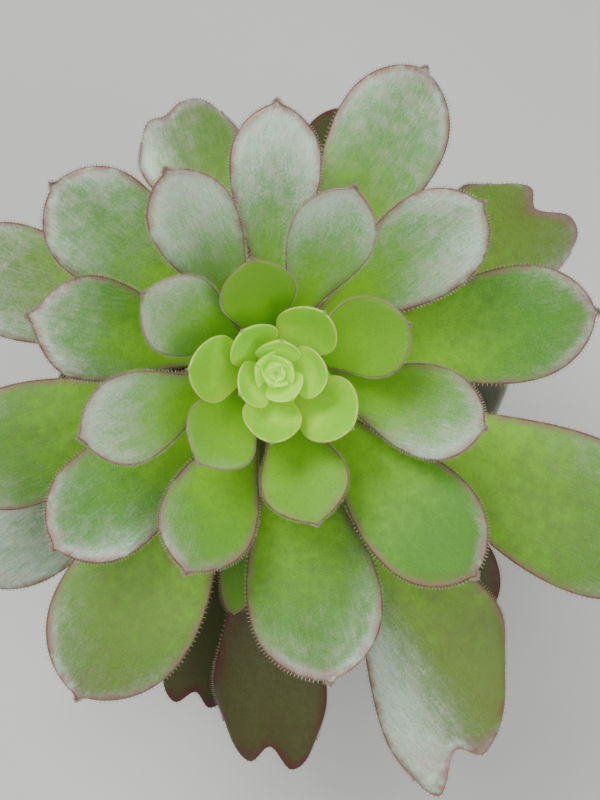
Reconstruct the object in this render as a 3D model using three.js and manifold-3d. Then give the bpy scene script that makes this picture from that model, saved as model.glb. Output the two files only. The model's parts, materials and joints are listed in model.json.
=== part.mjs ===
// A potted aeonium: one open rosette of spoon-shaped leaves on a short leaning stem, planted in a
// plain square pot. Millimetres, +Z up. The origin is the centre of the pot's underside, X and Y
// run square to the pot's walls, and the rosette leans towards -Y and +X.
import * as THREE from 'three';
import { mergeVertices } from 'three/addons/utils/BufferGeometryUtils.js';
import Module from 'manifold-3d';

const wasm = await Module();
wasm.setup();

// ---------------------------------------------------------------- driving dimensions, mm and deg

const GAP = 0.3; // clearance between solids that touch in the real plant

const POT = { rim: 150, base: 108, height: 130, wall: 1.8, floor: 3, corner: 11 };
const COLLAR = { depth: 30, step: 2.2 };
const DRAIN = { radius: 5, offset: 30, sides: 12 };

const SOIL = { level: 99, relief: 3.2, rings: 7, swellX: 0.11, swellY: 0.13 };

const HEART = new THREE.Vector3(-8, -19.5, 256); // the growing point in the middle of the rosette
const LEAN = 28.9; // the rosette's axis off the vertical
const LEAN_TO = -57.5; // the way it leans, as an azimuth from +X
const STEM = { top: 10.5, neck: 8.8, foot: 10, straight: 80, sides: 16, steps: 28 }; // radii and length
const STEM_FOOT = new THREE.Vector3(-16, 12, 62); // where it ends inside the soil
const SCAR = { height: 0.55, round: 5, fadeIn: 25 }; // leaf scars: how proud, how many round the stem

const DIVERGENCE = 137.5; // each leaf stands this far round from the next younger one
const FIRST_AZIMUTH = 46.6;
const YOUNGEST = -5; // the heart is made of the leaves from this number
const OLDEST_IN_HEART = 10; // to this one, on a small cone of stem
const HEART_CONE = [[8, 11], [4.5, 6], [2, 2], [0, 0.5]]; // its radii, and their depths below the top
const HEART_TURN = 10; // how far heart leaves crowd round from the side that faces down
// Sizes of leaf 0 in the heart, and the step from each leaf to the next older one.
const HEART_LEAF = { length: [14.5, 3], width: [12, 1.25], depth: [4, 1.15], reach: [2, 0.7] };
const HEART_EXTRA = { 8: 2, 9: 3, 10: -3 }; // how much longer than the rule a few of them have grown
const CROWN_START = 17; // depth of the first open leaf below the growing point
const CROWN_PITCH = 2; // and the step down the stem from each open leaf to the next
const ROOTS_SUNK = { heart: 1.5, open: 5 }; // how far the leaves' bases run on into the stem

// How leaves open as they age, in degrees: the rise of leaf 0 off the plane square to the axis and
// what each leaf loses, and the bend along it. Leaves past the last number have opened fully.
const RISE = { heart: 70, heartStep: 1.1, open: 80, openStep: 2, last: 45 };
const BEND = { heart: 14, heartStep: 1.6, open: 6, openStep: 0.9 };
// Old leaves also sag back towards the level, from one number over the next few.
const SAG = { share: 0.85, from: 16, over: 20 };

// Outline shared by all leaves, as shares of a leaf's length or of its half width. A leaf of the
// heart is broad from its base, and draws out into a spoon by the last number.
const LEAF = { neck: 0.26, widest: 0.74, spoon: 3.3, tipPower: 2.3, leastTip: 0.04 };
const BUD = { neck: 0.5, widest: 0.56, spoon: 1.3, from: 4, last: 16 };
const NOTCHED = { widest: 0.86, endTaper: 0.2, rounding: 0.1, from: 0.6, reach: 0.5 }; // broad to the end
// Their section: how deep the blade is cupped, youngest to oldest, and channelled near its neck.
const CUP = { first: 0.42, step: 0.016, budStep: 0.06, last: -0.06, channel: 0.3, channelEnds: 0.4 };
const THICK = { neck: 1.6, neckShare: 0.05, middle: 2.2, tip: 1.3, edge: 0.7, thinning: 0.75 }; // mm
const ALONG = [0, 0.2, 0.38, 0.53, 0.67, 0.79, 0.89, 0.96, 1];
const ALONG_HEART = [0, 0.35, 0.6, 0.8, 0.93, 1];
const ACROSS = [-1, -0.5, 0, 0.5, 1];
const ACROSS_NOTCHED = [-1, -0.75, -0.5, -0.25, 0, 0.25, 0.5, 0.75, 1];

// Every open leaf, youngest first: length, width, its turn off the spiral and its lift above the
// usual rise in degrees. Point is the fullness of its tip: 1 is sharp and 0.55 well rounded. A notch
// is the cleft in an old leaf's tip, as a share of its length: side is where it lies across the
// leaf, and skew makes one lobe longer. Sway bends a leaf sideways. Up is how far a leaf stands up
// the stem from its place on the spiral, as late side shoots do.
const OPEN_LEAVES = [
  { n: 11, length: 54, width: 26, turn: 5, point: 0.8 },
  { n: 12, length: 50, width: 27, turn: -9, point: 0.9 },
  { n: 13, length: 59, width: 29, turn: 9 },
  { n: 14, length: 65, width: 29, turn: -3, point: 0.75 },
  { n: 15, length: 62, width: 31, turn: -4, point: 0.85 },
  { n: 16, length: 80, width: 29, turn: 3, point: 0.75 },
  { n: 17, length: 80, width: 31, turn: -7, point: 0.75 },
  { n: 18, length: 83, width: 33, turn: 5 },
  { n: 19, length: 83, width: 31, turn: 0, point: 0.7 },
  { n: 20, length: 84, width: 35, turn: -11, point: 0.75 },
  { n: 21, length: 96, width: 37, turn: 6 },
  { n: 22, length: 89, width: 38, turn: -4, point: 0.95 },
  { n: 23, length: 109, width: 42, turn: 6 },
  { n: 24, length: 92, width: 34, turn: 3, point: 0.7 },
  { n: 25, length: 104, width: 41, turn: -5 },
  { n: 26, length: 121, width: 44, turn: 9 },
  { n: 27, length: 100, width: 44, turn: 2 },
  { n: 28, length: 122, width: 50, turn: 4 },
  { n: 29, length: 126, width: 46, turn: 8 },
  { n: 30, length: 129, width: 47, turn: 7 },
  { n: 31, length: 178, width: 59, turn: 6 },
  { n: 32, length: 109, width: 44, turn: 4, notch: 0.03, side: 0.3, skew: -0.01 },
  { n: 33, length: 147, width: 56, turn: -4 },
  { n: 34, length: 138, width: 52, turn: 6, notch: 0.07, side: 0.15, skew: -0.08 },
  { n: 35, length: 141, width: 48, turn: 5 },
  { n: 36, length: 178, width: 64, turn: 11, up: -1.3, notch: 0.07, side: -0.25, skew: -0.045, sway: -0.18 },
  { n: 37, length: 133, width: 42, turn: -7 },
  { n: 38, length: 157, width: 50, turn: 4, lift: -4 },
  { n: 39, length: 84, width: 30, turn: 0 },
  { n: 40, length: 104, width: 44, turn: 0 },
  { n: 41, length: 172, width: 48, turn: 7, notch: 0.06, skew: 0.03 },
  { n: 42, length: 76, width: 18, turn: -19, lift: 9, up: 3 },
  { n: 43, length: 96, width: 30, turn: 13 },
  { n: 44, length: 147, width: 36, turn: -4, lift: 8 },
  { n: 49, length: 104, width: 17, turn: -21, lift: 15, up: 20.5 },
  { n: 54, length: 156, width: 42, turn: 7, lift: 12, notch: 0.05 },
];

const COLOURS = {
  heart: 0xb6cf62,
  young: 0x86b84a,
  grown: 0x719a45,
  old: 0x6a5a40,
  stem: 0x6b5a44,
  soil: 0x4a382a,
  pot: 0xd9d8cf,
};

// ---------------------------------------------------------------- solids

function geometryToSolid(geometry) {
  const bare = geometry.clone();
  bare.deleteAttribute('normal');
  bare.deleteAttribute('uv');
  const merged = mergeVertices(bare, 1e-4);
  return new wasm.Manifold(new wasm.Mesh({
    numProp: 3,
    vertProperties: new Float32Array(merged.attributes.position.array),
    triVerts: new Uint32Array(merged.index.array),
  }));
}

function solidToGeometry(solid) {
  const mesh = solid.getMesh();
  const geometry = new THREE.BufferGeometry();
  geometry.setAttribute('position', new THREE.Float32BufferAttribute(mesh.vertProperties, 3));
  geometry.setIndex(new THREE.Uint32BufferAttribute(mesh.triVerts, 1));
  geometry.computeVertexNormals();
  return geometry;
}

function indexedGeometry(points, triangles) {
  const geometry = new THREE.BufferGeometry();
  const numbers = points.flatMap((p) => [p.x, p.y, p.z]);
  geometry.setAttribute('position', new THREE.Float32BufferAttribute(numbers, 3));
  geometry.setIndex(triangles);
  return geometry;
}

// A closed skin over a stack of rings with the same number of points each, counter-clockwise seen
// from the far end. Both ends close on a middle point.
function loft(rings) {
  const count = rings[0].length;
  const points = rings.flat();
  const triangles = [];
  for (let j = 0; j + 1 < rings.length; j += 1) {
    for (let i = 0; i < count; i += 1) {
      const a = j * count + i;
      const b = j * count + ((i + 1) % count);
      triangles.push(a, b, b + count, a, b + count, a + count);
    }
  }
  for (const end of [0, rings.length - 1]) {
    const middle = new THREE.Vector3();
    rings[end].forEach((p) => middle.addScaledVector(p, 1 / count));
    points.push(middle);
    const centre = points.length - 1;
    for (let i = 0; i < count; i += 1) {
      const a = end * count + i;
      const b = end * count + ((i + 1) % count);
      triangles.push(...(end === 0 ? [b, a, centre] : [a, b, centre]));
    }
  }
  return indexedGeometry(points, triangles);
}

// ---------------------------------------------------------------- pot

// A square of the given half width with round corners, level at height z.
function squareRing(half, z, corner = POT.corner) {
  const ring = [];
  for (let side = 0; side < 4; side += 1) {
    for (let step = 0; step <= 4; step += 1) {
      const angle = ((side + step / 4) * Math.PI) / 2;
      const turn = ((side + 0.5) * Math.PI) / 2;
      const reach = (half - corner) * Math.SQRT2;
      ring.push(new THREE.Vector3(
        reach * Math.cos(turn) + corner * Math.cos(angle),
        reach * Math.sin(turn) + corner * Math.sin(angle),
        z,
      ));
    }
  }
  return ring;
}

// Half the pot's outer width at height z, without the collar's step.
function potHalf(z) {
  return THREE.MathUtils.mapLinear(z, 0, POT.height, POT.base, POT.rim - 2 * COLLAR.step) / 2;
}

function potSections(inset, bottom) {
  const collar = POT.height - COLLAR.depth;
  return [
    squareRing(potHalf(bottom) - inset, bottom, POT.corner - inset),
    squareRing(potHalf(collar) - inset, collar, POT.corner - inset),
    squareRing(potHalf(collar) + COLLAR.step - inset, collar + COLLAR.step, POT.corner - inset),
    squareRing(potHalf(POT.height) + COLLAR.step - inset, POT.height, POT.corner - inset),
  ];
}

function potSolid() {
  const inside = potSections(POT.wall, POT.floor);
  const mouth = squareRing(POT.rim / 2 - POT.wall, POT.height + POT.wall, POT.corner - POT.wall);
  let pot = geometryToSolid(loft(potSections(0, 0)));
  pot = pot.subtract(geometryToSolid(loft([...inside.slice(0, 3), mouth])));
  for (const [x, y] of [[1, 1], [-1, 1], [-1, -1], [1, -1]]) {
    const hole = new THREE.CylinderGeometry(DRAIN.radius, DRAIN.radius, 4 * POT.floor, DRAIN.sides);
    hole.rotateX(Math.PI / 2);
    hole.translate(x * DRAIN.offset, y * DRAIN.offset, 0);
    pot = pot.subtract(geometryToSolid(hole));
  }
  return pot;
}

// ---------------------------------------------------------------- stem

const DEG = Math.PI / 180;
const AXIS = new THREE.Vector3(
  Math.sin(LEAN * DEG) * Math.cos(LEAN_TO * DEG),
  Math.sin(LEAN * DEG) * Math.sin(LEAN_TO * DEG),
  Math.cos(LEAN * DEG),
);

// The stem runs straight along the rosette's axis, then bends down to stand in the soil.
const NECK = HEART.clone().addScaledVector(AXIS, -STEM.straight);
const STEM_BEND = (NECK.z - STEM_FOOT.z) / 2;
const STEM_TOP = CROWN_START - 1;
const STEM_PATH = new THREE.CurvePath();
STEM_PATH.add(new THREE.LineCurve3(HEART.clone().addScaledVector(AXIS, -STEM_TOP), NECK));
STEM_PATH.add(new THREE.CubicBezierCurve3(
  NECK,
  NECK.clone().addScaledVector(AXIS, -STEM_BEND),
  STEM_FOOT.clone().add(new THREE.Vector3(0, 0, STEM_BEND)),
  STEM_FOOT,
));
const STEM_LENGTH = STEM_PATH.getLength();

function stemRadius(share) {
  const waist = Math.sin(Math.PI * share);
  return THREE.MathUtils.lerp(STEM.top, STEM.foot, share) - (STEM.top - STEM.neck) * waist;
}

// The stem's skin, grown by a clearance. Old leaf scars stand out as low staggered bosses.
function stemGeometry(clearance) {
  const rings = [];
  for (let j = 0; j <= STEM.steps; j += 1) {
    const share = j / STEM.steps;
    const along = STEM_PATH.getTangentAt(share);
    const centre = STEM_PATH.getPointAt(share).addScaledVector(along, j === 0 ? -clearance : 0);
    const side = new THREE.Vector3(0, 1, 0).cross(along).normalize();
    const front = along.clone().cross(side);
    const bare = THREE.MathUtils.smoothstep(share * STEM_LENGTH, STEM.straight - SCAR.fadeIn, STEM.straight);
    const ring = [];
    for (let i = 0; i < STEM.sides; i += 1) {
      const angle = (i / STEM.sides) * 2 * Math.PI;
      const boss = Math.cos(SCAR.round * angle + Math.PI * (j % 2)) * SCAR.height * bare;
      const reach = stemRadius(share) + boss + clearance;
      ring.push(centre.clone()
        .addScaledVector(side, reach * Math.cos(angle))
        .addScaledVector(front, reach * Math.sin(angle)));
    }
    rings.push(ring);
  }
  return loft(rings);
}

// ---------------------------------------------------------------- leaves

// Directions square to the rosette's axis, from which the azimuths on the spiral are counted.
const ROSETTE_X = new THREE.Vector3(1, 0, 0).addScaledVector(AXIS, -AXIS.x).normalize();
const ROSETTE_Y = AXIS.clone().cross(ROSETTE_X);
const DOWNHILL = Math.atan2(-ROSETTE_Y.z, -ROSETTE_X.z);

// How wide leaf n is at a share t of its length: a narrow neck, a broad spoon and a short point.
// A cleft leaf keeps a broad end.
function outline(n, t, point, cleft) {
  const age = THREE.MathUtils.clamp((n - BUD.from) / (BUD.last - BUD.from), 0, 1);
  const neck = THREE.MathUtils.lerp(BUD.neck, LEAF.neck, age);
  const spoon = THREE.MathUtils.lerp(BUD.spoon, LEAF.spoon, age);
  const widest = cleft ? NOTCHED.widest : THREE.MathUtils.lerp(BUD.widest, LEAF.widest, age);
  if (t <= widest) {
    return neck + (1 - neck) * Math.sin((Math.PI / 2) * (t / widest)) ** spoon;
  }
  const end = (t - widest) / (1 - widest);
  return cleft
    ? 1 - NOTCHED.endTaper * end ** 2
    : Math.max(LEAF.leastTip, (1 - end ** LEAF.tipPower) ** point);
}

// Where a leaf grows from the stem, the way it points and how it bends.
function leafStance(n, turn = 0, lift = 0) {
  const azimuth = (FIRST_AZIMUTH + DIVERGENCE * n + turn) * DEG;
  const radial = ROSETTE_X.clone().multiplyScalar(Math.cos(azimuth))
    .addScaledVector(ROSETTE_Y, Math.sin(azimuth));
  const age = Math.min(n, RISE.last);
  const inHeart = n <= OLDEST_IN_HEART;
  const opening = inHeart ? RISE.heart - RISE.heartStep * n : RISE.open - RISE.openStep * age;
  const sag = SAG.share * LEAN * THREE.MathUtils.clamp((n - SAG.from) / SAG.over, 0, 1);
  const rise = lift + opening + sag * Math.cos(azimuth - DOWNHILL);
  const droop = inHeart ? BEND.heart - BEND.heartStep * n : BEND.open - BEND.openStep * age;
  return { radial, rise: rise * DEG, droop: droop * DEG };
}

// One leaf as a closed blade. Its middle line is an arc in the plane of the axis and the radial
// direction. The upper and lower faces are split into the same triangles.
function leafGeometry(leaf, root, inset, stations) {
  const { n, length, width, point: fullness = 0.6, notch = 0, side = 0, skew = 0, sway = 0 } = leaf;
  const { radial, rise, droop } = leafStance(n, leaf.turn, leaf.lift);
  const lanes = notch > 0 ? ACROSS_NOTCHED : ACROSS;
  const lateral = AXIS.clone().cross(radial);
  const cupping = Math.max(CUP.last, CUP.first - (n < 0 ? CUP.budStep : CUP.step) * n);
  const upper = [];
  const lower = [];
  const addRow = (t, shift) => {
    const thick = THREE.MathUtils.lerp(
      THREE.MathUtils.lerp(THICK.neck + THICK.neckShare * width, THICK.middle, Math.min(1, 2 * t)),
      THICK.tip,
      Math.max(0, 2 * t - 1),
    );
    const half = (width / 2) * outline(n, t, fullness, notch > 0);
    const cup = cupping * (half / (width / 2)) + CUP.channel * Math.max(0, 1 - t / CUP.channelEnds);
    for (const u of lanes) {
      const late = notch > 0 ? THREE.MathUtils.smoothstep(t, NOTCHED.from, 1) : 0;
      const cleft = notch * (1 - THREE.MathUtils.smoothstep(Math.abs(u - side), 0, NOTCHED.reach));
      const share = t - late * (cleft + NOTCHED.rounding * u ** 4 - skew * u);
      const heading = rise + droop * share;
      const forward = (length * (Math.sin(heading) - Math.sin(rise))) / droop;
      const upward = (length * (Math.cos(rise) - Math.cos(heading))) / droop;
      const normal = AXIS.clone().multiplyScalar(Math.cos(heading))
        .addScaledVector(radial, -Math.sin(heading));
      const point = root.clone()
        .addScaledVector(radial, forward - shift)
        .addScaledVector(AXIS, upward)
        .addScaledVector(lateral, half * u + sway * length * share * share)
        .addScaledVector(normal, cup * half * u * u);
      const depth = Math.max(THICK.edge, thick * (1 - THICK.thinning * u * u));
      upper.push(point);
      lower.push(point.clone().addScaledVector(normal, -depth));
    }
  };
  addRow(0, inset);
  stations.forEach((t) => addRow(t, 0));

  const across = lanes.length;
  const under = upper.length;
  const lastRow = under - across;
  const triangles = [];
  for (let a = 0; a < lastRow; a += 1) {
    const onEdge = a % across === across - 1;
    if (!onEdge) {
      const c = a + across;
      triangles.push(a, c, c + 1, a, c + 1, a + 1);
      triangles.push(under + a, under + c + 1, under + c, under + a, under + a + 1, under + c + 1);
    }
    if (a % across === 0) {
      const c = a + across;
      triangles.push(a, under + a, under + c, a, under + c, c);
    }
    if (onEdge) {
      const c = a + across;
      triangles.push(a, under + c, under + a, a, c, under + c);
    }
  }
  for (let i = 0; i + 1 < across; i += 1) {
    const k = lastRow + i;
    triangles.push(i, i + 1, under + i + 1, i, under + i + 1, under + i);
    triangles.push(k, under + k + 1, k + 1, k, under + k, under + k + 1);
  }
  return indexedGeometry([...upper, ...lower], triangles);
}

function openLeafRoot({ n, turn, up = 0 }) {
  const depth = CROWN_START + CROWN_PITCH * (n - OLDEST_IN_HEART - 1) - up;
  const share = (depth - STEM_TOP) / STEM_LENGTH;
  return STEM_PATH.getPointAt(share).addScaledVector(leafStance(n, turn).radial, stemRadius(share));
}

// ---------------------------------------------------------------- heart

// A size of heart leaf n, from that of leaf 0 and the step from each leaf to the next. The bud's
// leaves, before leaf 0, taper off towards nothing.
function heartSize([first, step], n) {
  return n < 0 ? first * Math.exp((n * step) / first) : first + step * n;
}

// A small cone of stem with the youngest leaves cupped round each other on it, grown together.
function heartSolid() {
  const foot = STEM_TOP - GAP;
  const profile = [[0, foot], [STEM.top - 0.5, foot], ...HEART_CONE];
  const cone = new THREE.LatheGeometry(profile.map(([r, depth]) => new THREE.Vector2(r, -depth)), 18);
  const placed = new THREE.Matrix4().makeBasis(ROSETTE_X, ROSETTE_Y, AXIS).setPosition(HEART);
  cone.rotateX(Math.PI / 2);
  cone.applyMatrix4(placed);
  let heart = geometryToSolid(cone);
  for (let n = YOUNGEST; n <= OLDEST_IN_HEART; n += 1) {
    const turn = HEART_TURN * Math.cos((DIVERGENCE * n) * DEG);
    const { radial } = leafStance(n, turn);
    const root = HEART.clone()
      .addScaledVector(AXIS, -heartSize(HEART_LEAF.depth, n))
      .addScaledVector(radial, heartSize(HEART_LEAF.reach, n));
    const length = heartSize(HEART_LEAF.length, n) + (HEART_EXTRA[n] ?? 0);
    const width = heartSize(HEART_LEAF.width, n);
    const blade = leafGeometry({ n, turn, length, width }, root, ROOTS_SUNK.heart, ALONG_HEART);
    heart = heart.add(geometryToSolid(blade));
  }
  heart = heart.subtract(geometryToSolid(stemGeometry(GAP)));
  // The pockets sealed between the bud's leaves are filled: the outer skin alone is kept.
  return heart.decompose().reduce((most, part) => (part.volume() > most.volume() ? part : most));
}

// ---------------------------------------------------------------- soil

function soilSolid() {
  const rings = [];
  const floor = POT.floor + GAP;
  const inset = POT.wall + GAP;
  rings.push(squareRing(potHalf(floor) - inset, floor, POT.corner - inset));
  const edge = potHalf(SOIL.level) - inset;
  for (let ring = 0; ring < SOIL.rings; ring += 1) {
    const share = 1 - ring / SOIL.rings;
    const top = squareRing(edge * share, SOIL.level, (POT.corner - inset) * share);
    top.forEach((point) => {
      const swell = Math.sin(SOIL.swellX * point.x + 1) * Math.cos(SOIL.swellY * point.y) + 1 - share;
      point.z += SOIL.relief * swell * Math.min(1, 3 * (1 - share));
    });
    rings.push(top);
  }
  const body = geometryToSolid(loft(rings));
  return body.subtract(geometryToSolid(stemGeometry(GAP)));
}

// ---------------------------------------------------------------- the plant in its pot

const plant = new THREE.Group();

function addNode(name, geometry, colour, roughness) {
  const material = new THREE.MeshStandardMaterial({ color: colour, roughness, metalness: 0 });
  const mesh = new THREE.Mesh(geometry, material);
  mesh.name = name;
  plant.add(mesh);
}

addNode('pot', solidToGeometry(potSolid()), COLOURS.pot, 0.45);
addNode('soil', solidToGeometry(soilSolid()), COLOURS.soil, 0.95);
addNode('stem', stemGeometry(0), COLOURS.stem, 0.85);
addNode('rosette_heart', solidToGeometry(heartSolid()), COLOURS.heart, 0.5);

const stemRoom = geometryToSolid(stemGeometry(GAP));
for (const leaf of OPEN_LEAVES) {
  const blade = geometryToSolid(leafGeometry(leaf, openLeafRoot(leaf), ROOTS_SUNK.open, ALONG));
  const colour = leaf.n < 24 ? COLOURS.young : leaf.n < 37 ? COLOURS.grown : COLOURS.old;
  addNode(`leaf_${leaf.n}`, solidToGeometry(blade.subtract(stemRoom)), colour, 0.45);
}

export default plant;
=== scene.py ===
import json
import math

import bmesh
import bpy
import numpy as np
from mathutils import Matrix, Vector

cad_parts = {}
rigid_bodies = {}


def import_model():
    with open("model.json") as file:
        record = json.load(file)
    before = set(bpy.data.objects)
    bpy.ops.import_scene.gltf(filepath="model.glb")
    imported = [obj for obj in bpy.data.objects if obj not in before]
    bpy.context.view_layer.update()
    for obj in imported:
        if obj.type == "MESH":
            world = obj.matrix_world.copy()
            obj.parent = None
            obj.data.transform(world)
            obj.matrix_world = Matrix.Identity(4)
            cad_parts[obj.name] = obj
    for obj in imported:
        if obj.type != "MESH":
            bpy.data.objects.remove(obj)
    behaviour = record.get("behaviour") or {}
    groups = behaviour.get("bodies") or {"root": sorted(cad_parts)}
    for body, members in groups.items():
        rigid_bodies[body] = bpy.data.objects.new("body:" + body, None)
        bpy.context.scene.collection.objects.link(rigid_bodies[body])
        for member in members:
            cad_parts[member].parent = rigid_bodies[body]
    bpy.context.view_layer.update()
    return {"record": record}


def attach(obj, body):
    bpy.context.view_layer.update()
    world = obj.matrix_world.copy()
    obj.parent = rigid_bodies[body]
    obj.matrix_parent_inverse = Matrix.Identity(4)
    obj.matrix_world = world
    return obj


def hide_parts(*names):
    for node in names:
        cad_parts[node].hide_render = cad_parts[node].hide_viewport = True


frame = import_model()

# ---------------------------------------------------------------- table, lamps and camera
# The plant stands on a plain pale tabletop, under wide soft lamps and a pale even sky. The camera
# looks steeply down on the rosette, from a little to the right of the pot's front.


class Wire:
    """An output of a node. Arithmetic on it adds Math nodes to its tree."""

    def __init__(self, bench, socket):
        self.bench = bench
        self.socket = socket

    def out(self, name):
        return Wire(self.bench, self.socket.node.outputs[name])

    def math(self, operation, *rest):
        return self.bench.math(operation, self, *rest)

    def __add__(self, other):
        return self.bench.math("ADD", self, other)

    def __sub__(self, other):
        return self.bench.math("SUBTRACT", self, other)

    def __rsub__(self, other):
        return self.bench.math("SUBTRACT", other, self)

    def __mul__(self, other):
        return self.bench.math("MULTIPLY", self, other)

    def __truediv__(self, other):
        return self.bench.math("DIVIDE", self, other)

    def __rtruediv__(self, other):
        return self.bench.math("DIVIDE", other, self)

    def __pow__(self, other):
        return self.bench.math("POWER", self, other)

    def __rpow__(self, other):
        return self.bench.math("POWER", other, self)

    __radd__ = __add__
    __rmul__ = __mul__

    def step(self, low, high):
        """A smooth step, 0 up to low and 1 from high. With low above high it falls instead."""
        return self.bench.node("ShaderNodeMapRange", {"interpolation_type": "SMOOTHSTEP"},
                               {"Value": self, "From Min": low, "From Max": high})

    def swing(self, size):
        """A noise as a swing to both sides of zero, so big from end to end."""
        return (self - 0.5) * size

    def clamp(self):
        return self.bench.node("ShaderNodeClamp", {}, {"Value": self})


# Places of the Mix node's sockets for colours, which share their names with its other sockets.
MIX_SHARE, MIX_UNDER, MIX_OVER, MIX_COLOUR = 0, 6, 7, 2


class Bench:
    """A node tree, and the ways in which its nodes are added."""

    def __init__(self, tree):
        self.tree = tree

    def node(self, kind, settings, sockets, out=0):
        """A node of a type, with its settings and then the values or wires of its sockets."""
        node = self.tree.nodes.new(kind)
        for name, value in settings.items():
            if name == "stops":
                ramp = node.color_ramp
                while len(ramp.elements) < len(value):
                    ramp.elements.new(1.0)
                for element, (position, colour) in zip(ramp.elements, value):
                    element.position = position
                    element.color = (*colour, 1)
            else:
                setattr(node, name, value)
        for name, value in sockets.items():
            if isinstance(value, Wire):
                self.tree.links.new(value.socket, node.inputs[name])
            else:
                node.inputs[name].default_value = value
        return Wire(self, node.outputs[out]) if len(node.outputs) else node

    def math(self, operation, *values):
        return self.node("ShaderNodeMath", {"operation": operation}, dict(enumerate(values)))

    def vector(self, operation, *values, **sockets):
        return self.node("ShaderNodeVectorMath", {"operation": operation},
                         {**dict(enumerate(values)), **sockets})

    def joined(self, x, y, z):
        return self.node("ShaderNodeCombineXYZ", {}, {"X": x, "Y": y, "Z": z})

    def stretch(self, wire, x, y, z):
        return self.vector("MULTIPLY", wire, (x, y, z))

    def noise(self, at, scale, detail, roughness=0.5):
        return self.node("ShaderNodeTexNoise", {},
                         {"Vector": at, "Scale": scale, "Detail": detail, "Roughness": roughness})

    def tint(self, share, under, over):
        """Colour under turned into colour over by a share. A colour is linear red, green, blue."""
        under, over = (wire if isinstance(wire, Wire) else (*wire, 1) for wire in (under, over))
        return self.node("ShaderNodeMix", {"data_type": "RGBA"},
                         {MIX_SHARE: share, MIX_UNDER: under, MIX_OVER: over}, out=MIX_COLOUR)

    def read(self, attribute, out="Fac"):
        return self.node("ShaderNodeAttribute", {"attribute_name": attribute}, {}, out=out)


class Finish(Bench):
    """A material with one principled surface, whose constant values sit on its own sockets."""

    def __init__(self, name, constants):
        self.material = bpy.data.materials.new(name)
        self.material.use_nodes = True
        super().__init__(self.material.node_tree)
        self.shader = self.tree.nodes["Principled BSDF"]
        for socket, value in constants.items():
            self.shader.inputs[socket].default_value = value
        self.place = self.node("ShaderNodeTexCoord", {}, {}, out="Object")

    def feed(self, socket, wire):
        self.tree.links.new(wire.socket, self.shader.inputs[socket])

    def relief(self, height):
        """Bump from a height in millimetres."""
        self.feed("Normal", self.node("ShaderNodeBump", {}, {"Height": height, "Distance": 0.001}))


def new_piece(name, mesh):
    piece = bpy.data.objects.new(name, mesh)
    bpy.context.scene.collection.objects.link(piece)
    return piece


def standing(x_axis, y_axis, z_axis, origin):
    """The matrix of a thing that stands at an origin with its axes along three directions."""
    return Matrix((*zip(x_axis, y_axis, z_axis, origin), (0, 0, 0, 1)))


TABLE_HALF = 15.0
TABLE_WHITE = (0.62, 0.62, 0.61)
TABLE_SHADE = 0.97
SKY = (0.88, 0.90, 0.92)
SKY_STRENGTH = 0.32

table_finish = Finish("pale_table", {"Roughness": 0.75})
table_clouds = table_finish.noise(table_finish.place, scale=9, detail=4)
table_shaded = [TABLE_SHADE * c for c in TABLE_WHITE]
table_finish.feed("Base Color", table_finish.tint(table_clouds, TABLE_WHITE, table_shaded))
table_corners = [(x * TABLE_HALF, y * TABLE_HALF, 0) for x, y in ((-1, -1), (1, -1), (1, 1), (-1, 1))]
table_mesh = bpy.data.meshes.new("table_top")
table_mesh.from_pydata(table_corners, [], [(0, 1, 2, 3)])
table_mesh.materials.append(table_finish.material)
new_piece("table_top", table_mesh)

sky = bpy.data.worlds.new("pale_sky")
sky.use_nodes = True
background = sky.node_tree.nodes["Background"].inputs
background["Color"].default_value = (*SKY, 1)
background["Strength"].default_value = SKY_STRENGTH
bpy.context.scene.world = sky

ROSETTE_MIDDLE = Vector((-0.008, -0.0195, 0.256))
VIEW_TURN = math.radians(23)
VIEW_HEIGHT = math.radians(68)
CAMERA_LENS = 50
CAMERA_SENSOR = 36
CAMERA_NEAREST = 0.01
CAMERA_DISTANCE = 0.4
# How far the camera is moved beside the line on the rosette's middle.
CAMERA_RIGHT = 0.00882
CAMERA_DOWN = 0.01008

camera_right = Vector((math.cos(VIEW_TURN), math.sin(VIEW_TURN), 0))
camera_ahead = Vector((-math.sin(VIEW_TURN), math.cos(VIEW_TURN), 0))
camera_up = camera_ahead * math.sin(VIEW_HEIGHT) + Vector((0, 0, math.cos(VIEW_HEIGHT)))
camera_back = -camera_ahead * math.cos(VIEW_HEIGHT) + Vector((0, 0, math.sin(VIEW_HEIGHT)))
lens = bpy.data.cameras.new("camera")
lens.lens = CAMERA_LENS
lens.sensor_width = CAMERA_SENSOR
lens.clip_start = CAMERA_NEAREST
camera = new_piece("camera", lens)
camera_at = (ROSETTE_MIDDLE + CAMERA_RIGHT * camera_right - CAMERA_DOWN * camera_up
             + CAMERA_DISTANCE * camera_back)
camera.matrix_world = standing(camera_right, camera_up, camera_back, camera_at)
bpy.context.scene.camera = camera

# Each lamp: name, where it hangs, the side of its square window, its power and its colour. Two stand
# to the left and the right of the view, and a wide, weak one hangs behind the camera.
LAMPS = (
    ("lamp_window", (-0.60, 0.10, 1.38), 0.6, 16.0, (1.0, 0.99, 0.95)),
    ("lamp_right", (0.95, -0.40, 1.00), 0.7, 8.0, (1.0, 0.98, 0.95)),
    ("lamp_above", (0.16, -0.42, 1.45), 0.9, 7.5, (1.0, 1.0, 0.98)),
)
for lamp_name, lamp_at, lamp_side, lamp_power, lamp_colour in LAMPS:
    lamp = bpy.data.lights.new(lamp_name, "AREA")
    lamp.size = lamp_side
    lamp.energy = lamp_power
    lamp.color = lamp_colour
    hung = new_piece(lamp_name, lamp)
    hung.location = lamp_at
    hung.rotation_euler = (ROSETTE_MIDDLE - Vector(lamp_at)).to_track_quat("-Z", "Y").to_euler()

# ---------------------------------------------------------------- pot
# A square pot of pale plastic, injection moulded in one piece: thin tapering walls, a wider collar
# with a rounded lip to lift it by, and four drain holes in its floor.

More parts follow.
